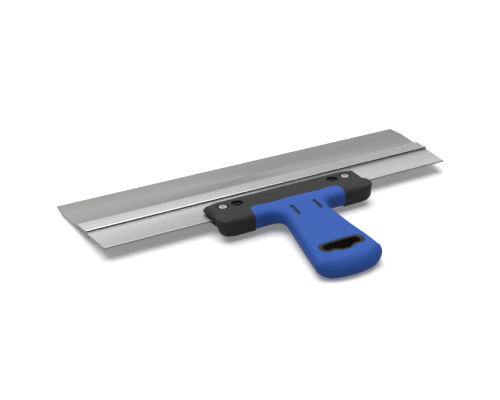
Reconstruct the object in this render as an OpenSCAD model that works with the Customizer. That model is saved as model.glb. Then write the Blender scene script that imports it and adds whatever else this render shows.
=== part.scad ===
// Flexible putty knife with an aluminium back profile and a two-component T handle.
// Frame: origin at the middle of the footprint on the surface the knife lies on,
// X along the working edge, +Y towards the working edge, +Z up.

/* [Blade] */
// Length of the working edge
edge_l = 350; // [300:1:400]
// Thickness of the spring steel
blade_t = 0.5; // [0.3:0.05:0.7]
// Depth from the profile's rear edge to the working edge
tool_d = 99.9; // [90:0.1:110]
// Length of the square corners behind the working edge
corner_l = 18.7; // [10:0.1:25]
// How far the blade reaches into the profile
blade_grip = 12; // [8:0.5:13]
// Angle by which both ends narrow towards the handle
side_angle = 8.4; // [0:0.1:12]
// Slope of the blade when the knife lies on a table
tilt = 6; // [5:0.1:7]

/* [Back profile] */
// Depth of the extrusion, rear edge to front lip
profile_d = 51.2; // [48:0.1:56]
// Depth of the rear flange up to the bead
flange_d = 32.3; // [30:0.1:34]
// Thickness of the rear flange
flange_t = 1.5; // [1.2:0.1:2]
// Height of the flange's underside over the middle of the blade
flange_rise = 0.4; // [0.3:0.1:0.8]
// Width of the raised bead
bead_w = 4.5; // [3.5:0.1:5.5]
// Height of the bead over the flange
bead_h = 2; // [1.4:0.1:2.2]
// Height of the upper lip over the middle of the blade
lip_top = 2.7; // [2.2:0.1:2.9]
// Thickness of the lower lip at its front edge
lip_t = 0.5; // [0.4:0.1:0.8]
// Depth of the body below the blade at its back
body_drop = 1.7; // [1.4:0.1:2]

/* [Jaw of the handle] */
// Width of the jaw that holds the flange
jaw_w = 145; // [140:1:146]
// How far the jaw reaches over the flange
jaw_reach = 16.4; // [14:0.1:18]
// Thickness of the upper jaw
upper_jaw_t = 6.5; // [5.5:0.1:7]
// Thickness of the lower jaw
lower_jaw_t = 4; // [3.5:0.1:4.5]
// Corner radius of the jaw, seen from above
jaw_r = 3.5; // [1:0.5:5]
// How far the jaws' sides lean in below their widest line
jaw_undercut = 2; // [0:0.1:2.4]
// How far the upper jaw's sides lean in above their widest line
jaw_bevel = 1.4; // [0:0.1:2]

/* [Barrel of the handle] */
// Width of the barrel behind the jaw
barrel_w = 147; // [146:1:156]
// Height of the barrel's top over the table
barrel_top = 20.4; // [20:0.1:21]
// Height of the barrel's underside over the table
barrel_bottom = 4.9; // [4.6:0.1:6]
// Distance from the flange's rear edge to the barrel's rear wall
barrel_d = 20.5; // [19:0.1:22]
// Radius of the barrel's upper rear edge
barrel_r = 7; // [5:0.5:7]
// Radius of the barrel's ends, seen from above
barrel_end_r = 9; // [6:0.5:10]

/* [Grip] */
// Distance from the flange's rear edge to the grip's end
grip_l = 105; // [102:0.5:112]
// Width of the grip behind the barrel
neck_w = 39; // [36:0.5:42]
// Width of the grip near its end
end_w = 59; // [56:0.5:64]
// Height of the grip's top, extended straight to the barrel
root_top = 22.6; // [22:0.1:23.2]
// Height of the grip's top at its end
end_top = 15.4; // [15:0.1:16.5]
// Height of the grip's underside at the barrel
root_bottom = 6.6; // [6:0.1:7]
// Width of the soft sleeve around the barrel
sleeve_w = 85; // [80:1:88]
// How far the sleeve's front edge lies behind the flange's rear edge
sleeve_gap = 6; // [5.5:0.1:6.5]
// Radius between the sleeve and the grip
fillet_r = 11; // [8:0.5:12]
// Thickness of the soft skin
skin_t = 2; // [1.5:0.1:2.2]

/* [Hang hole and windows] */
// Distance from the flange's rear edge to the middle of the hang hole
hang_y = 81.4; // [79:0.1:83]
// Length of the hang hole
hang_l = 33; // [28:0.5:34]
// Width of the hang hole
hang_w = 6.8; // [6:0.1:7.5]
// Width of the nail notch behind the middle of the hang hole, at its bottom
notch_w = 8; // [6:0.1:9]
// Depth of the nail notch
notch_d = 3; // [2:0.1:3.4]
// Wall of the rim along the hang hole
rim_t = 2; // [1.6:0.1:2.4]
// Extra wall of the rim at both ends of the hang hole
rim_end_t = 1.4; // [1:0.1:2]
// Distance between the two windows
window_gap = 21; // [19:0.5:23]
// Length of a window
window_l = 13.5; // [10:0.5:15]
// Width of a window
window_w = 2.8; // [1.8:0.1:3.2]
// Distance from the flange's rear edge to the middle of the windows
window_y = 27.6; // [26:0.1:29]

/* [Fasteners] */
// Distance between the two rivets
rivet_gap = 118; // [112:1:122]
// Distance between the two accessory holes
hole_gap = 92; // [86:1:96]
// Distance of rivets and holes from the flange's rear edge
hole_s = 6; // [5.5:0.1:8]
// Diameter of an accessory hole
hole_d = 6.5; // [6:0.1:7]
// Diameter of the counterbore of an accessory hole
counterbore_d = 10.5; // [9.5:0.1:11]
// Depth of the counterbore of an accessory hole
counterbore_h = 2.5; // [2:0.1:3]
// Diameter of a rivet's head
head_d = 7.6; // [7:0.1:8]
// Height of a rivet's head
head_h = 1.6; // [1.2:0.1:1.8]
// Diameter of the recess around a rivet's head
recess_d = 10.2; // [9.5:0.1:10.5]
// Depth of the recess around a rivet's head
recess_h = 1.3; // [1.1:0.1:1.6]
// Diameter of a rivet's body
rivet_d = 4; // [3.5:0.1:4.5]
// Diameter of the mandrel that stays in a rivet
mandrel_d = 2.2; // [2:0.1:2.4]
// Diameter of the washer under the lower jaw
washer_d = 8.5; // [8:0.1:9]
// Thickness of the washer
washer_t = 0.8; // [0.6:0.1:1]

/* [Hidden] */

// Shared clearances and overlaps
eps = 0.01;
slack = 0.05;

// Blade and profile, in the plane of the blade: s runs from the profile's
// rear edge to the working edge, n is the height over the middle of the blade
rear_half = edge_l / 2 - tan(side_angle) * (tool_d - corner_l);
flange_top = flange_rise + flange_t;
bead_top = flange_top + bead_h;
lip_root = flange_d + bead_w;
body_s = flange_d - 3;
nose_s = 0.7;
nose_n = 1.2;
bead_rear_r = 0.3;
bead_front_r = 1;
slot_s = profile_d - blade_grip;
jaw_top = flange_top + upper_jaw_t;
jaw_bottom = flange_rise - lower_jaw_t;

// The blade's slope lifts its plane over the table, and of the row's origin
pivot_z = tool_d * sin(tilt) + blade_t / 2 * cos(tilt);
front_y = tool_d * cos(tilt) + blade_t / 2 * sin(tilt);
origin_shift = (grip_l - front_y) / 2;

// Barrel
barrel_low_r = 3;
barrel_front_r = 2;
skin_proud = 0.4;
sleeve_r = 6;

// Grip: y is the distance behind the flange's rear edge
grip_exp = 3;
plan_exp = 2.1;
side_y = 92;
root_y = 13;
crown_y = 28;
crown_drop = 3;
form_y = sleeve_gap + 0.6;
pad_y = 85;
pad_depth = 0.3;
root_rings = 4;
side_rings = 9;
end_rings = 9;
ring_points = 28;

// Nail notch: how far its flanks lean outwards for each millimetre of depth
notch_lean = 1.4;

// Tongue of the core inside the grip
tongue_t = 7;
tongue_w = 27;
tongue_end_w = 44;
tongue_slope = atan((root_top - end_top) / (grip_l - root_y));
tongue_z = 14.6;

// Rivet: the seat of the head and the underside of the washer
seat_n = jaw_top - recess_h;
washer_n = jaw_bottom + 2;
blind_n = washer_n - washer_t;
blind_h = 2.6;
blind_d = 6.2;
washer_recess_d = washer_d + 1;

// Moves a piece that is drawn from the flange's rear edge into the row's frame
module place() {
  translate([0, origin_shift, 0]) children();
}

// Moves a piece that is drawn in the blade's plane into the row's frame
module in_blade_plane() {
  place() translate([0, 0, pivot_z]) rotate([-tilt, 0, 0]) children();
}

// Extrudes a (y, z) outline along X, centred
module along_x(width) {
  rotate([90, 0, 90]) linear_extrude(width, center = true) children();
}

// Rectangle from (x0, y0) to (x1, y1) with a radius at each corner,
// counter-clockwise from the lower left one
module rounded_box(x0, y0, x1, y1, r) {
  centres = [[x0 + r[0], y0 + r[0]], [x1 - r[1], y0 + r[1]],
             [x1 - r[2], y1 - r[2]], [x0 + r[3], y1 - r[3]]];
  polygon([[x0, y0 + r[0]], [x0 + r[0], y0], [x1 - r[1], y0], [x1, y0 + r[1]],
           [x1, y1 - r[2]], [x1 - r[2], y1], [x0 + r[3], y1], [x0, y1 - r[3]]]);
  for (i = [0:3]) translate(centres[i]) circle(r[i], $fn = 48);
}

// Slot with round ends along X, as long and as wide as given
module stadium(length, width) {
  square([length - width, width], center = true);
  for (side = [-1, 1])
    translate([side * (length - width) / 2, 0]) circle(d = width, $fn = 48);
}

// Outline of blade and profile, seen from above, between two depths
module ends_outline(s0, s1) {
  kink = min(s1, tool_d - corner_l);
  w0 = rear_half + tan(side_angle) * s0;
  w1 = rear_half + tan(side_angle) * kink;
  polygon([[-w0, s0], [w0, s0], [w1, kink], [w1, s1], [-w1, s1], [-w1, kink]]);
}

// Places children at the rivets' or holes' axes, side -1 left and 1 right
module at_hole(gap, side) {
  in_blade_plane() translate([side * gap / 2, hole_s, 0]) children();
}

module blade() {
  color("silver") in_blade_plane()
    translate([0, 0, -blade_t / 2]) linear_extrude(blade_t)
      ends_outline(slot_s + slack, tool_d);
}

// Cross-section of the extrusion, with the slot that holds the blade
module profile_section() {
  lip = blade_t / 2 + lip_t;
  difference() {
    union() {
      polygon([[0, flange_rise], [body_s, flange_rise], [body_s, -body_drop],
               [profile_d, -lip], [profile_d, lip_top - nose_n], [profile_d - nose_s, lip_top],
               [lip_root, lip_top], [lip_root, flange_top], [0, flange_top]]);
      rounded_box(flange_d, flange_rise, lip_root, bead_top,
                  [0.1, 0.1, bead_front_r, bead_rear_r]);
    }
    translate([slot_s, -blade_t / 2]) square([blade_grip + 1, blade_t]);
  }
}

module back_profile() {
  color("gainsboro") difference() {
    in_blade_plane() intersection() {
      along_x(edge_l) profile_section();
      translate([0, 0, -5]) linear_extrude(12) ends_outline(0, profile_d);
    }
    for (side = [-1, 1]) {
      at_hole(rivet_gap, side)
        cylinder(d = rivet_d + 2 * slack, h = 20, center = true, $fn = 48);
      at_hole(hole_gap, side) cylinder(d = hole_d, h = 20, center = true, $fn = 48);
    }
  }
}

// Both jaws seen from the front: their sides are widest a little over the flange
module jaw_sides() {
  low = jaw_w / 2 - jaw_undercut;
  wide = jaw_w / 2;
  high = wide - jaw_bevel;
  translate([0, 30, 0]) rotate([90, 0, 0]) linear_extrude(60)
    polygon([[-low, jaw_bottom - 1], [low, jaw_bottom - 1], [low, flange_top],
             [wide, flange_top + 2.6], [high, jaw_top], [high, jaw_top + 1],
             [-high, jaw_top + 1], [-high, jaw_top], [-wide, flange_top + 2.6],
             [-low, flange_top]]);
}

// Upper and lower jaw with the slot for the flange, in the blade's plane
module jaws() {
  difference() {
    intersection() {
      along_x(jaw_w) polygon([[-8, jaw_bottom], [jaw_reach - 1.5, jaw_bottom],
        [jaw_reach - 1.5, flange_rise], [jaw_reach, flange_top],
        [jaw_reach, jaw_top - 0.6], [jaw_reach - 0.6, jaw_top], [-8, jaw_top]]);
      translate([0, 0, -5]) linear_extrude(20)
        rounded_box(-jaw_w / 2, -9, jaw_w / 2, jaw_reach, [jaw_r, jaw_r, jaw_r, jaw_r]);
      jaw_sides();
    }
    translate([-jaw_w, 0, flange_rise]) cube([2 * jaw_w, 30, flange_t]);
  }
}

// Side outline of the barrel, grown by d on its free sides
module barrel_section(d) {
  rounded_box(-barrel_d - d, barrel_bottom - d, 0, barrel_top + d,
              [barrel_low_r + d, barrel_front_r, barrel_front_r, barrel_r + d]);
}

// Barrel, w wide and grown by d on its free sides; its top carries on the jaw's slope
module barrel(w, d) {
  intersection() {
    along_x(w) barrel_section(d);
    linear_extrude(40, center = true)
      rounded_box(-w / 2, -barrel_d - d, w / 2, 5,
                  [barrel_end_r, barrel_end_r, 2, 2]);
    translate([0, 0, pivot_z]) rotate([-tilt, 0, 0])
      translate([-w, -40, jaw_top + d - 40]) cube([2 * w, 60, 40]);
  }
}

// Space of the soft sleeve around the barrel
module sleeve_space() {
  translate([0, 0, -5]) linear_extrude(40)
    rounded_box(-sleeve_w / 2, -barrel_d - 10, sleeve_w / 2, -sleeve_gap,
                [1, 1, sleeve_r, sleeve_r]);
}

// Everything below the table
module below_table() {
  translate([0, -side_y, -20]) cube([200, 60, 40], center = true);
}

// Height of the grip's top: a straight slope, drawn down to the barrel in front
function top_z(y) = root_top + (end_top - root_top) * (y - root_y) / (grip_l - root_y)
  - crown_drop * pow(max(0, crown_y - y) / (crown_y - form_y), 2);

// Height of the grip's underside: it slopes down to the table, and a little below it
function bottom_z(y) = max(-pad_depth,
  -pad_depth + (root_bottom + pad_depth) * (pad_y - y) / (pad_y - barrel_d));

// Half width of the grip: straight sides that flare, with a fillet at the barrel
function straight_half(y) =
  (neck_w + (end_w - neck_w) * pow(max(0, y - barrel_d) / (side_y - barrel_d), 1.25)) / 2;
function fillet(y) = let (u = min(fillet_r, max(0, barrel_d + fillet_r - y)))
  fillet_r - sqrt(fillet_r * fillet_r - u * u);
function end_round(k, e) = pow(max(0, 1 - pow(k, e)), 1 / e);

// One ring of the grip: superellipse at depth y, narrowed by kw and flattened by kh
function grip_ring(y, kw, kh) = let (
    w = (straight_half(min(y, side_y)) + fillet(y)) * kw,
    zc = (top_z(y) + bottom_z(y)) / 2,
    h = (top_z(y) - bottom_z(y)) / 2 * kh)
  [for (i = [0:ring_points - 1]) let (a = 360 * (i + 0.5) / ring_points)
    [w * sign(cos(a)) * pow(abs(cos(a)), 2 / grip_exp), -y,
     zc + h * sign(sin(a)) * pow(abs(sin(a)), 2 / grip_exp)]];

// Skin through a list of rings with the same number of points
module loft(rings) {
  n = len(rings[0]);
  m = len(rings);
  polyhedron([for (ring = rings) each ring],
    concat([[for (i = [0:n - 1]) i]],
           [for (j = [0:m - 2], i = [0:n - 1]) let (k = (i + 1) % n)
             each [[j * n + i, (j + 1) * n + i, (j + 1) * n + k],
                   [j * n + i, (j + 1) * n + k, j * n + k]]],
           [[for (i = [n - 1:-1:0]) (m - 1) * n + i]]), convexity = 4);
}

// Outer form of the grip, from inside the barrel to the rounded end
module grip_form() {
  root = [for (i = [0:root_rings - 1]) form_y + (barrel_d - form_y) * i / root_rings];
  fillet_rings = [for (i = [0:4]) barrel_d + fillet_r * (1 - cos(90 * i / 4))];
  sides = [for (i = [1:side_rings]) barrel_d + fillet_r
           + (side_y - barrel_d - fillet_r) * i / side_rings];
  loft(concat([for (y = concat(root, fillet_rings, sides)) grip_ring(y, 1, 1)],
    [for (i = [1:end_rings]) let (k = sin(84 * i / end_rings))
      grip_ring(side_y + (grip_l - side_y) * k / sin(84),
                end_round(k, plan_exp), end_round(max(0, k - 0.35) / 0.65, 2))]));
}

// Tilts a piece so that it lies along the grip, at the level of the tongue
module along_grip() {
  translate([0, 0, tongue_z]) rotate([tongue_slope, 0, 0]) children();
}

// Plan of the hang hole, grown by t and by end_t more at both ends
module hang_outline(t, end_t) {
  flank = t * norm([1, notch_lean]);
  low = notch_w / 2 + flank - notch_lean * t;
  high = notch_w / 2 + flank + notch_lean * (notch_d + 1);
  translate([0, -hang_y]) {
    stadium(hang_l + 2 * t + 2 * end_t, hang_w + 2 * t);
    translate([0, -hang_w / 2])
      polygon([[-low, -notch_d - t], [low, -notch_d - t], [high, 1], [-high, 1]]);
  }
}

// Plan of both windows
module window_outlines() {
  for (side = [-1, 1])
    translate([side * window_gap / 2, -window_y])
      square([window_w, window_l], center = true);
}

// Tongue of the core, with the rim and the window pads that reach the skin
module tongue() {
  along_grip() translate([0, 0, -tongue_t / 2]) linear_extrude(tongue_t) {
    polygon([[-tongue_w / 2, -barrel_d + 8], [tongue_w / 2, -barrel_d + 8],
             [tongue_end_w / 2, -side_y + 8], [-tongue_end_w / 2, -side_y + 8]]);
    translate([0, -side_y + 8]) stadium(tongue_end_w, 16);
  }
}

module holes_in_jaws() {
  for (side = [-1, 1]) {
    at_hole(rivet_gap, side) {
      cylinder(d = rivet_d + 2 * slack, h = 40, center = true, $fn = 48);
      translate([0, 0, seat_n]) cylinder(d = recess_d, h = 20, $fn = 48);
      translate([0, 0, washer_n - 20]) cylinder(d = washer_recess_d, h = 20, $fn = 48);
    }
    at_hole(hole_gap, side) {
      cylinder(d = hole_d, h = 40, center = true, $fn = 48);
      translate([0, 0, jaw_top - counterbore_h]) cylinder(d = counterbore_d, h = 20, $fn = 48);
    }
  }
}

// Solid form of the hard core without any holes
module core_form() {
  in_blade_plane() jaws();
  place() {
    difference() {
      barrel(barrel_w, 0);
      difference() {
        sleeve_space();
        barrel(barrel_w, -skin_t);
      }
      translate([-barrel_w, -eps, 0]) cube([2 * barrel_w, 40, 40]);
    }
    tongue();
    intersection() {
      grip_form();
      linear_extrude(40) {
        hang_outline(rim_t, rim_end_t);
        window_outlines();
      }
    }
  }
}

module handle_core() {
  color([0.13, 0.13, 0.14]) difference() {
    core_form();
    holes_in_jaws();
    place() {
      below_table();
      translate([0, 0, -10]) linear_extrude(60) hang_outline(0, 0);
    }
  }
}

module soft_grip() {
  color([0.12, 0.3, 0.72]) difference() {
    place() union() {
      grip_form();
      intersection() {
        barrel(barrel_w, skin_proud);
        sleeve_space();
      }
    }
    core_form();
    place() {
      below_table();
      translate([0, 0, -10]) linear_extrude(60) hang_outline(0, 0);
    }
  }
}

// Blind rivet: domed head in the recess, body, and the set end under the washer
module rivet(side) {
  color("lightgray") at_hole(rivet_gap, side) difference() {
    union() {
      translate([0, 0, seat_n]) {
        cylinder(d = head_d, h = head_h / 2, $fn = 48);
        translate([0, 0, head_h / 2])
          cylinder(d1 = head_d, d2 = head_d - 1.6, h = head_h / 2, $fn = 48);
      }
      translate([0, 0, blind_n - eps]) cylinder(d = rivet_d, h = seat_n - blind_n + 2 * eps, $fn = 48);
      translate([0, 0, blind_n - blind_h]) cylinder(d = blind_d, h = blind_h, $fn = 48);
    }
    translate([0, 0, -20]) cylinder(d = mandrel_d, h = 40, $fn = 48);
  }
}

module mandrel(side) {
  color("gray") at_hole(rivet_gap, side) {
    translate([0, 0, blind_n - blind_h])
      cylinder(d = mandrel_d, h = seat_n - blind_n + blind_h + head_h - 0.5, $fn = 48);
    translate([0, 0, blind_n - blind_h - 1]) cylinder(d = mandrel_d + 1.2, h = 1, $fn = 48);
  }
}

module washer(side) {
  color("silver") at_hole(rivet_gap, side) translate([0, 0, blind_n]) difference() {
    cylinder(d = washer_d, h = washer_t, $fn = 48);
    translate([0, 0, -1]) cylinder(d = rivet_d + 2 * slack, h = 4, $fn = 48);
  }
}

blade();
back_profile();
handle_core();
soft_grip();
rivet(-1);  // rivet_left
rivet(1);  // rivet_right
mandrel(-1);  // mandrel_left
mandrel(1);  // mandrel_right
washer(-1);  // washer_left
washer(1);  // washer_right
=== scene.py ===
"""Looks of a flexible putty knife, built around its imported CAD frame.

The frame's origin lies on the table, X along the working edge, +Y towards it, +Z up.
The knife's sizes are in millimetres and become metres in mesh_piece(). Floor, light and camera are
in metres. Blade, back profile and fasteners are drawn in the blade's plane: s runs from the
profile's rear edge to the working edge, n is the height over the middle of the blade. The two
mouldings are written as distance fields, which are negative inside the piece, and contour() turns
them into meshes.
"""

import math

import bmesh
import bpy
import numpy as np
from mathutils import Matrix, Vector


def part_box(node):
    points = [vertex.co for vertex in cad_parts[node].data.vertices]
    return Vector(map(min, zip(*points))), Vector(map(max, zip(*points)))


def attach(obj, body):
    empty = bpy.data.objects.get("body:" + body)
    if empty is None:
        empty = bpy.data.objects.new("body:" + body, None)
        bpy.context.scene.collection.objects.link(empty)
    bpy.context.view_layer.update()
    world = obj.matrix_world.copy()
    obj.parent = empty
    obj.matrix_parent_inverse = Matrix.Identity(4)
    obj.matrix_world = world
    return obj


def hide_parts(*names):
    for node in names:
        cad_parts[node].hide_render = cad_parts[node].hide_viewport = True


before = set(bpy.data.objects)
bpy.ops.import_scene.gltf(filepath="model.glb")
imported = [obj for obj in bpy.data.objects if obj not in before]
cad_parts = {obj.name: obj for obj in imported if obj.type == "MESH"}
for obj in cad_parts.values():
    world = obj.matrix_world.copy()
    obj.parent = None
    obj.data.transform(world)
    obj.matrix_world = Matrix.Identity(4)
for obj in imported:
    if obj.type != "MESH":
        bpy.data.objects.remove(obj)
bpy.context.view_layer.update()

MM = 0.001
BODY = "root"

# ---------------------------------------------------------------- sizes

# Whole tool
TILT = math.radians(6)  # slope of the blade when the knife lies on the table
EDGE_L = 350  # length of the working edge
TOOL_D = 99.9  # from the flange's rear edge to the working edge
GRIP_L = 105  # from the flange's rear edge to the grip's end
SLACK = 0.05  # between pieces that are put together

# Blade
BLADE_T = 0.5
BLADE_GRIP = 12  # how far it reaches into the profile
BLADE_BREAK = 0.12  # how finely its edges are broken
CORNER_L = 18.7  # length of the square corners behind the working edge
SIDE_ANGLE = math.radians(8.4)  # by which both ends narrow behind the corners

# Back profile: flange at the back, then the bead, the groove and the lips
PROFILE_D = 51.2
FLANGE_D = 32.3
FLANGE_RISE = 0.4
FLANGE_TOP = 1.9
BEAD_W = 4.5
BEAD_TOP = 3.9
BEAD_CROWN_R = 20
GROOVE_H = 0.12
NOSE = 0.7  # how far the upper lip's front edge leans back
LIP_TOP = 2.7
LIP_BOTTOM = -0.75
SLOT_GAP = 0.02
BODY_START = 3  # how far behind the bead the thick body starts
BODY_DROP = 1.7
PROFILE_BREAK = 0.1

# Jaws
JAW_W = 144.9
JAW_FLARE = 0.09  # how far each side moves out for every mm towards the front
JAW_REACH = 16.4
JAW_SETBACK = 1.5  # of the lower jaw's front
JAW_ROOT = 8  # how far the jaws reach into the barrel
JAW_TOP = 8.4
JAW_BOTTOM = -3.6
JAW_WIDE = 4.5  # height at which the sides are widest
JAW_LEAN_H = 3  # height over which the two leans below are measured
JAW_BEVEL = 1.3  # how far the sides lean in above the widest line
JAW_UNDERCUT = 2.4  # and below it
JAW_LEAN_R = 0.3  # softness of the widest line
JAW_R = 3.5
JAW_EDGE_R = 1
JAW_SIDE_R = 3.8
JAW_MOUTH_R = 0.2  # where the upper jaw meets the flange
JAW_FOOT_R = 2.4  # and the same at the sides
JAW_LOW_R = 1.8
JAW_FILLET_R = 1.2  # between jaws and barrel

# Barrel
BARREL_W = 146.6
BARREL_DRAFT = 0.24  # of the end faces at the front
REAR_DRAFT = 0.04  # and at the back
BARREL_D = 20.5
BARREL_TOP = 20.4
BARREL_BOTTOM = 4.9
BARREL_FRONT = 0.5  # how far its lower front lies behind the flange's rear edge
END_R = 9  # ends of the barrel, seen from above
REAR_TOP_R = 6.5
REAR_LOW_R = 2.2
FRONT_LOW_R = 1.5
END_TOP_R = 2.4
END_LOW_R = 7.5
END_LOW_FADE = 0.6  # how much of this radius is lost towards the back
END_FOOT_R = 7  # between the front and the underside, at the ends

# Where a radius or draft hands over to the next: from and to, across the tool ...
JAW_ENDS = (60, 70)
JAW_FEET = (64, 70)
BARREL_ENDS = (55, 69)
BARREL_LOW_ENDS = (58, 70)
GRIP_TO_SLEEVE = (17, 36)
SLEEVE_EDGE = (20, 34)
# ... and behind the flange
DRAFT_CHANGE = (5, 17)
END_LOW_CHANGE = (9, 19)
NECK_EDGE = (22, 40)
END_EDGE = (72, 98)

# Soft sleeve around the barrel
SLEEVE_W = 85
SLEEVE_GAP = 6
SLEEVE_R = 6
SLEEVE_BOTTOM = 4.55
SKIN_PROUD = 0.4
SKIN_T = 2
SKIN_GAP = 0.03  # between skin and core
SKIN_LIP_R = 0.4

# Grip
NECK_W = 39
END_W = 58.6
SIDE_D = 92  # where the sides end and the round end starts
SIDE_CURVE = 1.25  # power of the sides' flare
SIDE_SLANT = 1.015  # a length across the tool over one square to the side
FILLET_R = 11
PLAN_EXP = 2.1
ROOT_TOP = 22.6  # height of the top at ROOT_D
ROOT_D = 13
END_TOP = 15.4  # and at the end
CROWN_D = 28  # the top is crowned in front of this line
CROWN_DROP = 3  # and has fallen by this much at CROWN_END
CROWN_END = SLEEVE_GAP + 0.6
CAMBER = 0.9  # how far the top falls from the middle to END_W / 2
CAMBER_LIMIT = 1.2
ROOT_BOTTOM = 6.6
PAD_D = 85  # where the underside reaches the table
RISE_D = 14  # where the sleeve's underside starts to rise into the grip's
RISE_SLOPE = 0.25
TOP_EDGE_R = 7
END_EDGE_R = 3.2  # added to it at the end
LOW_EDGE_R = 6.4

# Hang hole, windows and the hidden tongue
HANG_D = 81.4
HANG_L = 33
HANG_W = 6.8
HANG_R = 0.6
NOTCH_W = 8
NOTCH_D = 3
NOTCH_LEAN = 1.4
NOTCH_R = 1
NOTCH_FILLET_R = 1.5
RIM_T = 2
RIM_END_T = 1.4
RIM_R = 0.4
WINDOW_GAP = 21
WINDOW_L = 13.5
WINDOW_W = 2.8
WINDOW_D = 27.6
WINDOW_H = 1.1
WINDOW_R = 1
WAIST_D = 40  # the core is thinner under the soft skin up to here
TONGUE_START = 12
TONGUE_END = 91
TONGUE_WIDE = 83  # where the tongue has its full width
TONGUE_HALF = 13.5
TONGUE_GROW = 8.5
TONGUE_T = 7
TONGUE_R = 5
TONGUE_EDGE_R = 1
TONGUE_Z = 14.6  # height of its middle at TONGUE_Z_D
TONGUE_Z_D = BARREL_D - 8

# Fasteners and the empty holes beside them
RIVET_GAP = 118
HOLE_GAP = 92
HOLE_S = 6
HOLE_D = 6.5
HOLE_R = 0.3  # edges of the recesses and counterbores
COUNTERBORE_D = 10.5
COUNTERBORE_H = 2.5
HEAD_D = 7.6
HEAD_H = 1.6
RECESS_D = 10.2
RECESS_H = 1.3
RIVET_D = 4
BLIND_D = 6.2
BLIND_H = 2.6
MANDREL_D = 2.2
STEM_GAP = 0.03
WASHER_D = 8.5
WASHER_T = 0.8
WASHER_BREAK = 0.12
SEAT_D = WASHER_D + 1
SEAT_Z = JAW_BOTTOM + 2  # top of the washer's seat in the lower jaw
BLIND_Z = SEAT_Z - WASHER_T
RIVET_Z = JAW_TOP - RECESS_H  # underside of the rivet's head
CUT = 30  # holes are cut from -CUT to CUT, past the moulding on both sides
DRILL = 10  # and in the thin profile from -DRILL to DRILL
DRILL_SIDES = 48

# Where the flange's rear edge and the blade's plane lie in the row frame
REAR_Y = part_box("soft_grip")[0].y / MM + GRIP_L
PIVOT_Z = TOOL_D * math.sin(TILT) + BLADE_T / 2 * math.cos(TILT)
REAR_HALF = EDGE_L / 2 - math.tan(SIDE_ANGLE) * (TOOL_D - CORNER_L)

# Meshing of the moulded pieces
CELL = 0.6
MARGIN = 2.4 * CELL  # of the grid around the piece
HALVINGS = 14  # to find where an edge of the grid meets the surface
HOLD = 0.02  # how strongly a vertex is held at the mean of its cell's crossings
REACH = 0.6  # how far it may leave its cell's centre, in cells


# ---------------------------------------------------------------- mesh tools

def face_outwards(mesh):
    """Turn a closed mesh's faces so that they all look outwards."""
    bm = bmesh.new()
    bm.from_mesh(mesh)
    bmesh.ops.recalc_face_normals(bm, faces=bm.faces)
    bm.to_mesh(mesh)
    bm.free()


def mesh_piece(name, verts, faces, replaced, material, smooth_deg=35):
    """A piece from vertices in millimetres, smooth up to an angle, riding on the body."""
    mesh = bpy.data.meshes.new(name)
    mesh.from_pydata([tuple(v) for v in np.asarray(verts, float) * MM], [], faces)
    face_outwards(mesh)
    mesh.shade_smooth()
    mesh.set_sharp_from_angle(angle=math.radians(smooth_deg))
    piece = bpy.data.objects.new(name, mesh)
    bpy.context.scene.collection.objects.link(piece)
    mesh.materials.append(material)
    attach(piece, BODY)
    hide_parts(*replaced)
    return piece


def from_blade_plane(points):
    """Row-frame points from (x, s, n) points."""
    x, s, n = np.asarray(points, float).T
    y = REAR_Y + s * math.cos(TILT) + n * math.sin(TILT)
    z = PIVOT_Z - s * math.sin(TILT) + n * math.cos(TILT)
    return np.stack([x, y, z], 1)


def ring_faces(rings, count, closed_ends=True):
    """Quads between rings of count points each, with the first and last ring filled."""
    faces = []
    for j in range(rings - 1):
        for i in range(count):
            k = (i + 1) % count
            faces.append([j * count + i, j * count + k, (j + 1) * count + k, (j + 1) * count + i])
    if closed_ends:
        faces.append(list(range(count)))
        faces.append(list(range((rings - 1) * count, rings * count))[::-1])
    return faces


def lathe(outline, segments=56):
    """Verts and faces of a closed (r, n) outline turned about the n axis, clear of the axis."""
    verts = []
    for i in range(segments):
        a = 2 * math.pi * i / segments
        verts += [(r * math.cos(a), r * math.sin(a), n) for r, n in outline]
    count = len(outline)
    faces = ring_faces(segments, count, closed_ends=False)
    for i in range(count):
        k = (i + 1) % count
        last = (segments - 1) * count
        faces.append([last + i, last + k, k, i])
    return verts, faces


def spindle(outline, segments=40):
    """Like lathe(), for an outline that runs from the axis at the bottom to the axis at the top."""
    bottom, top = outline[0][1], outline[-1][1]
    inner = outline[1:-1]
    verts = [(r * math.cos(a), r * math.sin(a), n) for r, n in inner
             for a in (2 * math.pi * i / segments for i in range(segments))]
    faces = ring_faces(len(inner), segments, closed_ends=False)
    verts += [(0, 0, bottom), (0, 0, top)]
    last = (len(inner) - 1) * segments
    for i in range(segments):
        k = (i + 1) % segments
        faces.append([i, k, len(verts) - 2])
        faces.append([last + i, last + k, len(verts) - 1])
    return verts, faces


def arc(centre, radius, start_deg, end_deg, steps=5):
    """Points on a circle's arc, ends included."""
    angles = [math.radians(start_deg + (end_deg - start_deg) * i / steps) for i in range(steps + 1)]
    return [(centre[0] + radius * math.cos(a), centre[1] + radius * math.sin(a)) for a in angles]


def offset(outline, distance):
    """Counter-clockwise outline moved inwards by a distance, with mitred corners."""
    p = np.asarray(outline, float)
    along = np.roll(p, -1, 0) - p
    along /= np.linalg.norm(along, axis=1, keepdims=True)
    inward = np.stack([-along[:, 1], along[:, 0]], 1)
    before = np.roll(inward, 1, 0)
    mitre = inward + before
    mitre /= np.sum(mitre * inward, 1, keepdims=True)
    return p + distance * mitre


def at_rivet(points, side):
    """Row-frame points of a piece drawn about a rivet's axis, side -1 left and 1 right."""
    return from_blade_plane(np.asarray(points, float) + [side * RIVET_GAP / 2, HOLE_S, 0])


# ---------------------------------------------------------------- distance fields

def blade_plane(p):
    """s and n of row-frame points."""
    y = p[:, 1] - REAR_Y
    z = p[:, 2] - PIVOT_Z
    return y * math.cos(TILT) - z * math.sin(TILT), y * math.sin(TILT) + z * math.cos(TILT)


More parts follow.
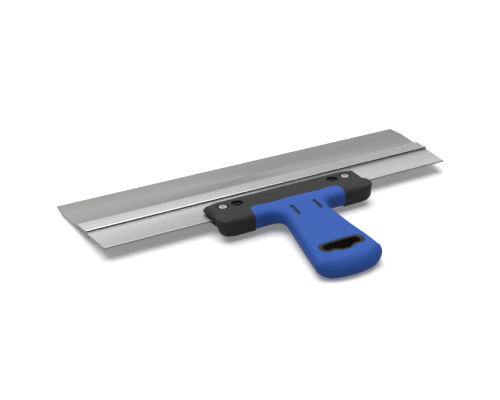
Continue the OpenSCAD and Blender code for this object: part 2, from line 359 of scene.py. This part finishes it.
def from_rear(p):
    """Distance from the middle, distance behind the flange's rear edge, and height of points."""
    return np.abs(p[:, 0]), REAR_Y - p[:, 1], p[:, 2]


def both(a, b, r=0.0):
    """Intersection of two fields with an edge radius r."""
    return np.minimum(np.maximum(a, b), -r) + np.hypot(np.maximum(a + r, 0), np.maximum(b + r, 0))


def either(a, b, r=0.0):
    """Union of two fields with a fillet of radius r."""
    return -both(-a, -b, r)


def slab(v, low, high):
    """Field of the space between two values of v."""
    return np.abs(v - (low + high) / 2) - (high - low) / 2


def ease(v, low, high):
    """0 below low, 1 above high, smooth between."""
    t = np.clip((v - low) / (high - low), 0, 1)
    return t * t * (3 - 2 * t)


def mix(a, b, share):
    """a where share is 0, b where it is 1."""
    return a + (b - a) * share


def gradient(shape, p, h=0.02):
    """Unit vectors along which the field grows."""
    out = np.empty_like(p)
    for i in range(3):
        step = np.zeros(3)
        step[i] = h
        out[:, i] = shape(p + step) - shape(p - step)
    return out / np.maximum(np.linalg.norm(out, axis=1, keepdims=True), 1e-12)


def contour(shape, low, high, cell):
    """Dual contouring: closed quads on shape(p) = 0, with the shape's sharp edges kept.

    Each edge of the grid that crosses the surface gives a point and a normal to its four cells,
    and one quad between them. A cell's vertex is where the planes of its points meet best.
    """
    low = np.asarray(low, float)
    count = np.ceil((np.asarray(high, float) - low) / cell).astype(int) + 1
    axes = [low[i] + cell * np.arange(count[i]) for i in range(3)]
    grid = np.stack(np.meshgrid(*axes, indexing="ij"), -1).reshape(-1, 3)
    value = np.concatenate([shape(part) for part in np.array_split(grid, 8)]).reshape(count)
    inside = value < 0
    cells = count - 1
    total = int(np.prod(cells))
    ata, atb = np.zeros((total, 3, 3)), np.zeros((total, 3))
    mass, hits = np.zeros((total, 3)), np.zeros(total)
    quads = []
    for axis in range(3):
        u, v = (axis + 1) % 3, (axis + 2) % 3
        first = [slice(None)] * 3
        second = [slice(None)] * 3
        first[axis], second[axis] = slice(None, -1), slice(1, None)
        change = inside[tuple(first)] != inside[tuple(second)]
        at = np.argwhere(change)
        at = at[(at[:, u] > 0) & (at[:, v] > 0) & (at[:, u] < cells[u]) & (at[:, v] < cells[v])]
        step = np.zeros(3, int)
        step[axis] = 1
        a, b = low + cell * at, low + cell * (at + step)
        outward = inside[tuple(at.T)]
        for _ in range(HALVINGS):
            middle = (a + b) / 2
            same = ((shape(middle) < 0) == outward)[:, None]
            a, b = np.where(same, middle, a), np.where(same, b, middle)
        point = (a + b) / 2
        normal = gradient(shape, point)
        around = []
        for du, dv in ((0, 0), (-1, 0), (-1, -1), (0, -1)):
            owner = at.copy()
            owner[:, u] += du
            owner[:, v] += dv
            owner = np.ravel_multi_index(tuple(owner.T), cells)
            around.append(owner)
            np.add.at(ata, owner, normal[:, :, None] * normal[:, None, :])
            np.add.at(atb, owner, normal * np.sum(normal * point, axis=1, keepdims=True))
            np.add.at(mass, owner, point)
            np.add.at(hits, owner, 1)
        around = np.stack(around, -1)
        quads.append(np.where(outward[:, None], around, around[:, ::-1]))
    used = np.flatnonzero(hits)
    mean = mass[used] / hits[used, None]
    left = ata[used] + np.eye(3) * HOLD
    right = atb[used] - np.einsum("nij,nj->ni", ata[used], mean)
    verts = mean + np.linalg.solve(left, right[:, :, None])[:, :, 0]
    centre = low + cell * (np.stack(np.unravel_index(used, cells), -1) + 0.5)
    verts = np.clip(verts, centre - REACH * cell, centre + REACH * cell)
    number = np.full(total, -1)
    number[used] = np.arange(len(used))
    return verts, number[np.concatenate(quads)].tolist()


# ---------------------------------------------------------------- handle: shapes

def jaw_field(p):
    """Upper and lower jaw; their sides flare a little towards the front."""
    x = np.abs(p[:, 0])
    s, n = blade_plane(p)
    lean = mix(JAW_UNDERCUT, JAW_BEVEL, ease(n, JAW_WIDE - 0.5, JAW_WIDE + 0.5))
    over = (np.maximum(n, FLANGE_TOP) - JAW_WIDE) / JAW_LEAN_H
    sides = x - JAW_W / 2 - JAW_FLARE * s + lean * (np.hypot(over, JAW_LEAN_R) - JAW_LEAN_R)
    top_r = mix(JAW_EDGE_R, JAW_SIDE_R, ease(x, *JAW_ENDS))
    upper = both(both(sides, s - JAW_REACH, JAW_R), n - JAW_TOP, top_r)
    upper = both(upper, FLANGE_TOP - n, mix(JAW_MOUTH_R, JAW_FOOT_R, ease(x, *JAW_FEET)))
    lower = both(both(sides, s - JAW_REACH + JAW_SETBACK, JAW_R), JAW_BOTTOM - n, JAW_LOW_R)
    return both(np.where(n > FLANGE_TOP, upper, lower), -JAW_ROOT - s)


def barrel_field(p):
    """Bar behind the jaw: its top carries on the jaw's slope and rolls over into the rear wall."""
    x, behind, z = from_rear(p)
    n = blade_plane(p)[1]
    near_end = ease(x, *BARREL_ENDS)
    draft = mix(BARREL_DRAFT, REAR_DRAFT, ease(behind, *DRAFT_CHANGE))
    side = (x - BARREL_W / 2 + draft * (BARREL_TOP - z)) / np.hypot(1, draft)
    wall = both(behind - BARREL_D, side, END_R)
    top = both(z - BARREL_TOP, n - JAW_TOP)
    body = both(wall, top, mix(REAR_TOP_R, END_TOP_R, near_end))
    low_end = ease(x, *BARREL_LOW_ENDS) * (1 - END_LOW_FADE * ease(behind, *END_LOW_CHANGE))
    under = both(BARREL_BOTTOM - z, BARREL_FRONT - behind, mix(FRONT_LOW_R, END_FOOT_R, near_end))
    return both(body, under, mix(REAR_LOW_R, END_LOW_R, low_end))


def bracket_field(p):
    """Jaws and barrel in one moulding, without holes."""
    n = blade_plane(p)[1]
    return both(either(jaw_field(p), barrel_field(p), JAW_FILLET_R), n - JAW_TOP)


def round_hole(p, gap, diameter, low, high):
    """Both holes of a pair, at gap / 2 from the middle, between two heights over the blade."""
    s, n = blade_plane(p)
    r = np.hypot(np.abs(p[:, 0]) - gap / 2, s - HOLE_S)
    return both(r - diameter / 2, slab(n, low, high))


def grip_plan(x, behind):
    """Distance to the grip's outline seen from above: flaring sides and a round end."""
    share = np.clip((behind - BARREL_D) / (SIDE_D - BARREL_D), 0, 1)
    side = (x - (NECK_W + (END_W - NECK_W) * share**SIDE_CURVE) / 2) / SIDE_SLANT
    reach = GRIP_L - SIDE_D
    a, b = x / (END_W / 2), np.maximum(behind - SIDE_D, 0) / reach
    q = np.maximum(a**PLAN_EXP + b**PLAN_EXP, 1e-9) ** (1 / PLAN_EXP)
    steep = np.hypot(a ** (PLAN_EXP - 1) / (END_W / 2), b ** (PLAN_EXP - 1) / reach)
    end = (q - 1) / np.maximum(steep * q ** (1 - PLAN_EXP), 1e-3)
    return np.where(behind > SIDE_D, end, side)


def grip_top(x, behind):
    """Height of the soft skin's top: sleeve at the sides, crowned slope of the grip between."""
    slope = ROOT_TOP + (END_TOP - ROOT_TOP) * (behind - ROOT_D) / (GRIP_L - ROOT_D)
    slope -= CROWN_DROP * (np.maximum(CROWN_D - behind, 0) / (CROWN_D - CROWN_END)) ** 2
    slope -= CAMBER * np.minimum(x / (END_W / 2), CAMBER_LIMIT) ** 2
    jaw = PIVOT_Z + JAW_TOP / math.cos(TILT) + behind * math.tan(TILT)
    sleeve = np.minimum(jaw, BARREL_TOP) + SKIN_PROUD
    return mix(slope, sleeve, ease(x, *GRIP_TO_SLEEVE))


def grip_bottom(x, behind):
    """Height of its underside: it rises behind the sleeve and slopes down to the table."""
    slope = ROOT_BOTTOM * (PAD_D - behind) / (PAD_D - BARREL_D)
    rise = SLEEVE_BOTTOM + np.maximum(behind - RISE_D, 0) * RISE_SLOPE
    grip = np.maximum(np.minimum(slope, rise), 0)
    return mix(grip, SLEEVE_BOTTOM, ease(x, *GRIP_TO_SLEEVE))


def skin_form(p):
    """Outer form of the soft skin: sleeve and grip with one edge that follows the fillets."""
    x, behind, z = from_rear(p)
    wall = either(behind - BARREL_D - SKIN_PROUD, grip_plan(x, behind), FILLET_R)
    on_sleeve = ease(x, *SLEEVE_EDGE) * (1 - ease(behind, *NECK_EDGE))
    edge = mix(TOP_EDGE_R, REAR_TOP_R, on_sleeve) + END_EDGE_R * ease(behind, *END_EDGE)
    body = both(wall, z - grip_top(x, behind), edge)
    return both(body, grip_bottom(x, behind) - z, LOW_EDGE_R)


def sleeve_space(p):
    """Space of the soft skin, seen from above."""
    x, behind, _ = from_rear(p)
    return both(x - SLEEVE_W / 2, SLEEVE_GAP - behind, SLEEVE_R)


def hang_outline(p, grow, grow_ends=0.0):
    """Plan of the hang hole with its nail notch, grown all round and more at both ends."""
    x, behind, _ = from_rear(p)
    straight = (HANG_L - HANG_W) / 2 + grow_ends
    slot = np.hypot(np.maximum(x - straight, 0), behind - HANG_D) - HANG_W / 2 - grow
    depth = behind - HANG_D - HANG_W / 2
    flank = (x - NOTCH_W / 2 - (NOTCH_D - depth) * NOTCH_LEAN) / math.hypot(1, NOTCH_LEAN)
    notch = both(both(flank, depth - NOTCH_D, NOTCH_R) - grow, -depth - HANG_W / 2)
    return either(slot, notch, NOTCH_FILLET_R)


def windows(p):
    """Plan of the two narrow windows that show the core."""
    x, behind, _ = from_rear(p)
    return both(slab(x, (WINDOW_GAP - WINDOW_W) / 2, (WINDOW_GAP + WINDOW_W) / 2),
                slab(behind, WINDOW_D - WINDOW_L / 2, WINDOW_D + WINDOW_L / 2), WINDOW_R)


def tongue_field(p):
    """Hidden tongue of the core inside the grip."""
    x, behind, z = from_rear(p)
    middle = TONGUE_Z - (behind - TONGUE_Z_D) * (ROOT_TOP - END_TOP) / (GRIP_L - ROOT_D)
    share = np.clip((behind - TONGUE_START) / (TONGUE_WIDE - TONGUE_START), 0, 1)
    plan = both(x - TONGUE_HALF - TONGUE_GROW * share, slab(behind, TONGUE_START, TONGUE_END), TONGUE_R)
    return both(plan, np.abs(z - middle) - TONGUE_T / 2, TONGUE_EDGE_R)


def core_body(p):
    """The hard moulding before the holes are taken out."""
    behind = from_rear(p)[1]
    waist = both(both(sleeve_space(p), behind - WAIST_D), -(barrel_field(p) + SKIN_T))
    core = both(bracket_field(p), -waist)
    form = skin_form(p)
    rim = both(form, hang_outline(p, RIM_T, RIM_END_T), RIM_R)
    pads = both(form + WINDOW_H, windows(p))
    return either(either(core, tongue_field(p)), either(rim, pads))


def core_field(p):
    """The hard moulding with the flange's slot, the seats, the holes and the hang hole."""
    s, n = blade_plane(p)
    core = both(core_body(p), -both(slab(n, FLANGE_RISE - SLOT_GAP, FLANGE_TOP + SLOT_GAP), -s))
    core = both(core, -round_hole(p, RIVET_GAP, RIVET_D + 2 * SLACK, -CUT, CUT))
    core = both(core, -round_hole(p, RIVET_GAP, RECESS_D, RIVET_Z, CUT), HOLE_R)
    core = both(core, -round_hole(p, RIVET_GAP, SEAT_D, -CUT, SEAT_Z))
    core = both(core, -round_hole(p, HOLE_GAP, HOLE_D, -CUT, CUT))
    core = both(core, -round_hole(p, HOLE_GAP, COUNTERBORE_D, JAW_TOP - COUNTERBORE_H, CUT), HOLE_R)
    return both(core, -hang_outline(p, 0), HANG_R)


def skin_field(p):
    """Soft overmould: one skin around the barrel and the tongue."""
    skin = both(skin_form(p), sleeve_space(p), SKIN_LIP_R)
    skin = both(skin, -p[:, 2])
    skin = both(skin, -(core_body(p) - SKIN_GAP))
    skin = both(skin, -(windows(p) - SLACK), SKIN_LIP_R)
    return both(skin, -hang_outline(p, RIM_T + SLACK, RIM_END_T), SKIN_LIP_R)


# ---------------------------------------------------------------- materials

def node(tree, kind, values, **settings):
    """A new node; each value is a number, a colour or the socket that is linked to the input."""
    made = tree.nodes.new(kind)
    for key, value in settings.items():
        setattr(made, key, value)
    for socket, value in values.items():
        if isinstance(value, bpy.types.NodeSocket):
            tree.links.new(value, made.inputs[socket])
        else:
            made.inputs[socket].default_value = value
    return made


def place_of(tree):
    """The point's place in its object."""
    return node(tree, "ShaderNodeTexCoord", {}).outputs["Object"]


def noise(tree, stretch, detail=2.0, rough=0.5):
    """Noise with stretch features per metre along X, Y and Z."""
    mapped = node(tree, "ShaderNodeMapping", {"Vector": place_of(tree), "Scale": stretch})
    made = node(tree, "ShaderNodeTexNoise", {"Vector": mapped.outputs[0], "Scale": 1.0,
                                             "Detail": detail, "Roughness": rough})
    return made.outputs[0]


def remap(tree, value, low, high, to_low=0.0, to_high=1.0):
    """Value moved from one range to another, and clamped to it."""
    made = node(tree, "ShaderNodeMapRange", {"Value": value, "From Min": low, "From Max": high,
                                             "To Min": to_low, "To Max": to_high})
    return made.outputs[0]


def maths(tree, operation, a, b):
    """Result of one sum on two numbers or sockets."""
    return node(tree, "ShaderNodeMath", {0: a, 1: b}, operation=operation).outputs[0]


def mixed(tree, share, a, b):
    """Colour between a and b."""
    made = node(tree, "ShaderNodeMix", {"Factor": share, 6: a, 7: b}, data_type="RGBA")
    return made.outputs[2]


def finish_surface(tree, colour, roughness, layers):
    """Link colour and roughness, and stack bump layers of (height, distance in mm, strength)."""
    shader = tree.nodes["Principled BSDF"]
    tree.links.new(colour, shader.inputs["Base Color"])
    tree.links.new(roughness, shader.inputs["Roughness"])
    normal = None
    for height, distance, strength in layers:
        values = {"Height": height, "Distance": distance * MM, "Strength": strength}
        if normal is not None:
            values["Normal"] = normal
        normal = node(tree, "ShaderNodeBump", values).outputs[0]
    tree.links.new(normal, shader.inputs["Normal"])
    return shader


def new_material(name):
    """A new material and its node tree."""
    material = bpy.data.materials.new(name)
    material.use_nodes = True
    return material, material.node_tree


def rgb(r, g, b):
    """Opaque colour for a socket."""
    return (r, g, b, 1)


SAWN_AND_PAINTED_SHADE = 0.9  # share of the darker colour on a metal's ends, which stands partly for a saw-cut finish and partly for painted shade, and on its rear-facing faces, where it is painted shade
SAWN_AND_SHADE_DARK = 0.3  # that colour, as a share of the metal's own
PLASTIC_SHINE = 0.1


def metal(name, dark, light, rough, grain, streak):
    """Drawn or ground metal: fine grain, faint clouds, thin scratches, and darker ends and rear-facing
    faces. The ends are darker partly for a saw-cut finish and partly as painted shade; the rear-facing
    faces are painted shade.
    """
    material, tree = new_material(name)
    fine = noise(tree, grain, 3.0, 0.6)
    broad = noise(tree, (9, 14, 14), 3.0)
    bands = noise(tree, (5, 420, 420), 2.0)
    scratch = remap(tree, noise(tree, (60, 1500, 1500), 1.0), 0.66, 0.72)
    share = maths(tree, "ADD", maths(tree, "MULTIPLY", fine, 0.35),
                  maths(tree, "MULTIPLY", broad, 0.65))
    colour = mixed(tree, remap(tree, share, 0.3, 0.7), rgb(*dark), rgb(*light))
    colour = mixed(tree, maths(tree, "MULTIPLY", scratch, 0.12), colour, rgb(0.8, 0.8, 0.79))
    # painted shade: faces turned towards -Y are darkened; the end faces are darkened partly for a
    # saw-cut finish and partly as painted shade
    normal = node(tree, "ShaderNodeTexCoord", {}).outputs["Normal"]
    facing = node(tree, "ShaderNodeSeparateXYZ", {0: normal})
    ends = maths(tree, "ABSOLUTE", facing.outputs[0], 0.0)
    rear = maths(tree, "MULTIPLY", facing.outputs[1], -1.0)
    sawn_and_shade = remap(tree, maths(tree, "MAXIMUM", ends, rear), 0.4, 0.8)
    sawn_and_shade = maths(tree, "MULTIPLY", sawn_and_shade, SAWN_AND_PAINTED_SHADE)
    colour = mixed(tree, sawn_and_shade, colour, rgb(*(SAWN_AND_SHADE_DARK * channel for channel in dark)))
    rough_mix = maths(tree, "ADD", remap(tree, bands, 0.3, 0.7, rough - streak, rough + streak),
                      maths(tree, "MULTIPLY", scratch, -0.06))
    shader = finish_surface(tree, colour, rough_mix, [(fine, 0.01, 0.2), (bands, 0.003, 0.05)])
    shader.inputs["Metallic"].default_value = 1.0
    shader.inputs["Anisotropic"].default_value = 0.3
    return material


def moulded(name, dark, light, rough, pore, wear_highlight_colour, wear_highlight_share):
    """Moulded plastic: spark-eroded texture, slow colour drift, and paler edges that stand partly for
    rubbed wear and partly for a painted highlight.
    """
    material, tree = new_material(name)
    texture = noise(tree, (pore, pore, pore), 2.0, 0.55)
    drift = noise(tree, (28, 28, 28), 3.0)
    handling = noise(tree, (210, 210, 210), 3.0, 0.7)
    colour = mixed(tree, remap(tree, drift, 0.3, 0.7), rgb(*dark), rgb(*light))
    # paler edges: partly rubbed wear, partly a painted highlight
    edges = node(tree, "ShaderNodeNewGeometry", {}).outputs["Pointiness"]
    wear_and_highlight = maths(tree, "MULTIPLY", remap(tree, edges, 0.515, 0.56),
                 remap(tree, handling, 0.4, 0.62))
    colour = mixed(tree, maths(tree, "MULTIPLY", wear_and_highlight, wear_highlight_share), colour, rgb(*wear_highlight_colour))
    shine = maths(tree, "ADD", remap(tree, handling, 0.3, 0.7, rough + 0.05, rough - 0.05),
                  maths(tree, "MULTIPLY", wear_and_highlight, -0.08))
    shader = finish_surface(tree, colour, shine, [(texture, 0.06, 0.35), (handling, 0.05, 0.08)])
    shader.inputs["Specular IOR Level"].default_value = PLASTIC_SHINE
    return material


STEEL = metal("ground_spring_steel", (0.29, 0.285, 0.276), (0.315, 0.31, 0.3), 0.36,
              (30, 2600, 2600), 0.02)
ALUMINIUM = metal("drawn_aluminium", (0.42, 0.42, 0.416), (0.45, 0.45, 0.446), 0.4,
                  (12, 1900, 1900), 0.02)
RIVET = metal("rivet_aluminium", (0.24, 0.24, 0.236), (0.28, 0.28, 0.276), 0.6,
              (900, 900, 900), 0.05)
STEM = metal("mandrel_steel", (0.3, 0.29, 0.28), (0.38, 0.37, 0.36), 0.45,
             (1400, 1400, 500), 0.06)
ZINC = metal("zinc_washer", (0.5, 0.51, 0.5), (0.6, 0.6, 0.57), 0.38, (700, 700, 700), 0.06)
# the last two values of each plastic give the colour and share of its paler edges, partly rubbed wear
# and partly painted highlight
HARD = moulded("hard_black_plastic", (0.0145, 0.0145, 0.015), (0.017, 0.017, 0.0175), 0.55,
               2300, (0.07, 0.07, 0.075), 0.35)
SOFT = moulded("soft_blue_skin", (0.014, 0.05, 0.21), (0.017, 0.055, 0.225), 0.6,
               1700, (0.03, 0.09, 0.3), 0.3)


# ---------------------------------------------------------------- blade, profile, fasteners

def half_width(s):
    """Half the width of blade and profile at depth s."""
    return REAR_HALF + math.tan(SIDE_ANGLE) * np.minimum(s, TOOL_D - CORNER_L)


def blade_piece():
    """Sheet with finely broken edges; its rear part sits in the profile's slot."""
    rear, kink = PROFILE_D - BLADE_GRIP + SLACK, TOOL_D - CORNER_L
    w0, w1 = half_width(rear), half_width(kink)
    outline = [(-w0, rear), (w0, rear), (w1, kink), (w1, TOOL_D), (-w1, TOOL_D), (-w1, kink)]
    inner = offset(outline, BLADE_BREAK)
    face, edge = BLADE_T / 2, BLADE_T / 2 - 0.1
    rings = [(inner, -face), (outline, -edge), (outline, edge), (inner, face)]
    points = [(x, s, n) for ring, n in rings for x, s in ring]
    mesh_piece("steel_blade", from_blade_plane(points), ring_faces(4, len(outline)), ["blade"],
               STEEL)


def profile_section():
    """Outline of the extrusion in (s, n): flange, body with the slot, nose, groove and bead."""
    slot = PROFILE_D - BLADE_GRIP
    body = FLANGE_D - BODY_START
    lip = BLADE_T / 2 + SLOT_GAP
    crest = FLANGE_D + BEAD_W / 2
    groove = FLANGE_D + BEAD_W
    flange_r, root_r, fine_r, crest_r = 0.25, 0.4, 0.3, 0.95
    return (arc((flange_r, FLANGE_RISE + flange_r), flange_r, 180, 270, 3)
            + [(body - root_r, FLANGE_RISE), (body, FLANGE_RISE - root_r)]
            + arc((body + root_r, -BODY_DROP + root_r), root_r, 180, 265, 4)
            + [(PROFILE_D - 2.5, LIP_BOTTOM - 0.35), (PROFILE_D - 0.2, LIP_BOTTOM),
               (PROFILE_D, LIP_BOTTOM + 0.2), (PROFILE_D, -lip), (slot, -lip), (slot, lip),
               (PROFILE_D, lip), (PROFILE_D, LIP_TOP - 1.2)]
            + arc((PROFILE_D - NOSE - fine_r, LIP_TOP - fine_r), fine_r, 30, 90, 3)
            + [(PROFILE_D - NOSE - 0.5, LIP_TOP), (groove + 1.3, LIP_TOP), (groove + 1.1, LIP_TOP),
               (groove + 0.8, LIP_TOP - GROOVE_H), (groove + 0.3, LIP_TOP - GROOVE_H)]
            + arc((crest + 1.2, BEAD_TOP - crest_r), crest_r, 10, 84, 4)
            + arc((crest + 0.3, BEAD_TOP - BEAD_CROWN_R), BEAD_CROWN_R, 90, 95.5, 4)
            + arc((FLANGE_D + fine_r, BEAD_TOP - 0.45), fine_r, 110, 180, 4)
            + [(FLANGE_D, FLANGE_TOP + 0.15), (FLANGE_D - 0.15, FLANGE_TOP),
               (FLANGE_D - 0.35, FLANGE_TOP), (flange_r + 0.2, FLANGE_TOP)]
            + arc((flange_r, FLANGE_TOP - flange_r), flange_r, 90, 180, 3))


def drilled(verts, faces, holes):
    """Mesh data with round holes (centre, radius) cut straight through the blade's plane."""
    points, quads = [], []
    for (x, s), radius in holes:
        ring = arc((x, s), radius, 0, 360 - 360 / DRILL_SIDES, DRILL_SIDES - 1)
        start = len(points)
        points += [(a, b, n) for n in (-DRILL, DRILL) for a, b in ring]
        quads += [[start + i for i in face] for face in ring_faces(2, len(ring))]
    things = []
    for name, places, sides in (("drill_body", verts, faces), ("drill_tools", points, quads)):
        mesh = bpy.data.meshes.new(name)
        mesh.from_pydata([tuple(v) for v in places], [], sides)
        face_outwards(mesh)
        things.append(bpy.data.objects.new(name, mesh))
        bpy.context.scene.collection.objects.link(things[-1])
    body, tools = things
    cut = body.modifiers.new("cut", "BOOLEAN")
    cut.operation, cut.solver, cut.object = "DIFFERENCE", "EXACT", tools
    bpy.context.view_layer.update()
    result = body.evaluated_get(bpy.context.evaluated_depsgraph_get()).to_mesh()
    verts = [tuple(v.co) for v in result.vertices]
    faces = [list(f.vertices) for f in result.polygons]
    for thing in things:
        bpy.data.objects.remove(thing)
    return verts, faces


def profile_piece():
    """Extrusion with mitred ends and fine burr-free edges, drilled for rivets and holes."""
    section = profile_section()
    inner = offset(section, PROFILE_BREAK)
    rings = [(inner, -1, 0), (section, -1, 0.12), (section, 1, 0.12), (inner, 1, 0)]
    points = [(side * (half_width(s) - inset), s, n) for ring, side, inset in rings for s, n in ring]
    holes = [((side * gap / 2, HOLE_S), d / 2) for side in (-1, 1)
             for gap, d in ((RIVET_GAP, RIVET_D + 2 * SLACK), (HOLE_GAP, HOLE_D))]
    verts, faces = drilled(points, ring_faces(4, len(section)), holes)
    mesh_piece("drawn_profile", from_blade_plane(verts), faces, ["back_profile"],
               ALUMINIUM)


def rivet_piece(side, word):
    """Blind rivet: flat head in its recess, and the bulb that is set under the washer."""
    low, top = BLIND_Z - BLIND_H, RIVET_Z + HEAD_H
    bore, bulb, head = MANDREL_D / 2 + STEM_GAP, BLIND_D / 2, HEAD_D / 2
    outline = ([(bore, low), (bulb - 0.5, low)]
               + arc((bulb - 0.7, low + 0.7), 0.7, 290, 360, 4)
               + [(bulb, BLIND_Z - 0.6), (bulb - 0.4, BLIND_Z), (RIVET_D / 2, BLIND_Z),
                  (RIVET_D / 2, RIVET_Z), (head - 0.2, RIVET_Z)]
               + arc((head - 0.6, top - 0.8), 0.6, 0, 75, 5)
               + [(bore + 0.6, top), (bore + 0.4, top - 0.05), (bore + 0.12, top - 0.2),
                  (bore, top - 0.4)])
    verts, faces = lathe(outline)
    mesh_piece("blind_rivet_" + word, at_rivet(verts, side), faces, ["rivet_" + word],
               RIVET)


def stem_piece(side, word):
    """Mandrel that stays inside the rivet: broken off at the top, with its head at the bottom."""
    low, top = BLIND_Z - BLIND_H, RIVET_Z + HEAD_H - 0.5
    r = MANDREL_D / 2
    outline = [(0, low - 1), (r + 0.35, low - 1), (r + 0.6, low - 0.75), (r + 0.6, low - 0.3),
               (r + 0.4, low - 0.05), (r, low - 0.02),
               (r, top - 0.25), (r - 0.12, top - 0.05), (r - 0.4, top), (0, top - 0.18)]
    verts, faces = spindle(outline)
    mesh_piece("stem_" + word, at_rivet(verts, side), faces, ["mandrel_" + word],
               STEM)


def washer_piece(side, word):
    """Washer between the lower jaw and the rivet's bulb."""
    hole, rim = RIVET_D / 2 + SLACK, WASHER_D / 2
    low, top = BLIND_Z, BLIND_Z + WASHER_T
    outline = [(hole, low + WASHER_BREAK), (hole + 0.1, low), (rim - 0.1, low),
               (rim, low + WASHER_BREAK), (rim, top - WASHER_BREAK), (rim - WASHER_BREAK, top),
               (hole + 0.1, top), (hole, top - WASHER_BREAK)]
    verts, faces = lathe(outline)
    mesh_piece("backing_washer_" + word, at_rivet(verts, side), faces,
               ["washer_" + word], ZINC)


def moulding_piece(name, shape, cad, material):
    """Moulding meshed from its distance field, in a grid a little larger than its CAD node."""
    low, high = (np.array(corner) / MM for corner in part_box(cad))
    verts, faces = contour(shape, low - MARGIN, high + MARGIN, CELL)
    mesh_piece(name, verts, faces, [cad], material)


blade_piece()
profile_piece()
for side, word in ((-1, "left"), (1, "right")):
    rivet_piece(side, word)
    stem_piece(side, word)
    washer_piece(side, word)
moulding_piece("core_moulding", core_field, "handle_core", HARD)
moulding_piece("soft_skin", skin_field, "soft_grip", SOFT)

# ---------------------------------------------------------------- floor, light, camera

# The photo's view: from in front of the grip, turned and raised, at a distance in metres
VIEW_AZ = math.radians(26.7)
VIEW_EL = math.radians(30.233)
VIEW_D = 0.6819
LENS = 57.63
SENSOR = 36
TARGET = Vector((-0.028268, 0.021453, 0.010394))

FLOOR_HALF = 5
FLOOR_GLOW = 0.22  # the table is a lit sheet, so that shadows stay pale
KEY_PLACE = (-0.4, 0.9, 5)
KEY_SIZE = 5.5
KEY_POWER = 640
ROOM_TOWARDS = (0.25, 0.75, 0.6)  # where the room is brightest
ROOM_FAR = 0.8
ROOM_NEAR = 0.05


def floor():
    """Plain pale table top."""
    mesh = bpy.data.meshes.new("floor")
    corners = [(FLOOR_HALF * x, FLOOR_HALF * y, 0) for x, y in ((-1, -1), (1, -1), (1, 1), (-1, 1))]
    mesh.from_pydata(corners, [], [(0, 1, 2, 3)])
    piece = bpy.data.objects.new("floor", mesh)
    bpy.context.scene.collection.objects.link(piece)
    material, tree = new_material("floor_white")
    tone = mixed(tree, noise(tree, (3, 3, 3)), rgb(0.46, 0.46, 0.46), rgb(0.47, 0.47, 0.47))
    finish_surface(tree, tone, remap(tree, noise(tree, (40, 40, 40)), 0.3, 0.7, 0.85, 0.95),
                   [(noise(tree, (900, 900, 900)), 0.02, 0.05)])
    surface = tree.nodes["Principled BSDF"]
    surface.inputs["Specular IOR Level"].default_value = 0.0
    surface.inputs["Emission Color"].default_value = (1, 1, 1, 1)
    surface.inputs["Emission Strength"].default_value = FLOOR_GLOW
    mesh.materials.append(material)


def key_light():
    """One big soft square light overhead, aimed at the origin."""
    light = bpy.data.lights.new("key", "AREA")
    light.shape = "RECTANGLE"
    light.size = KEY_SIZE
    light.size_y = KEY_SIZE
    light.energy = KEY_POWER
    lamp = bpy.data.objects.new("key", light)
    lamp.location = KEY_PLACE
    lamp.rotation_euler = (-Vector(KEY_PLACE)).to_track_quat("-Z", "Y").to_euler()
    bpy.context.scene.collection.objects.link(lamp)


def camera():
    """Camera at the photo's angle."""
    data = bpy.data.cameras.new("camera")
    data.lens = LENS
    data.sensor_width = SENSOR
    cam = bpy.data.objects.new("camera", data)
    look = Vector((math.sin(VIEW_AZ) * math.cos(VIEW_EL), math.cos(VIEW_AZ) * math.cos(VIEW_EL),
                   -math.sin(VIEW_EL)))
    cam.location = TARGET - look * VIEW_D
    cam.rotation_euler = look.to_track_quat("-Z", "Y").to_euler()
    bpy.context.scene.collection.objects.link(cam)
    bpy.context.scene.camera = cam


def room():
    """White room that is brighter beyond the blade than behind the grip."""
    world = bpy.data.worlds.new("studio")
    world.use_nodes = True
    tree = world.node_tree
    direction = node(tree, "ShaderNodeTexCoord", {}).outputs["Generated"]
    facing = node(tree, "ShaderNodeVectorMath", {0: direction, 1: ROOM_TOWARDS},
                  operation="DOT_PRODUCT").outputs["Value"]
    level = remap(tree, facing, -0.2, 1.0, ROOM_NEAR, ROOM_FAR)
    tree.links.new(level, tree.nodes["Background"].inputs["Strength"])
    tree.nodes["Background"].inputs["Color"].default_value = (1, 1, 1, 1)
    bpy.context.scene.world = world


floor()
camera()
room()
key_light()
bpy.context.scene.view_settings.view_transform = "Standard"
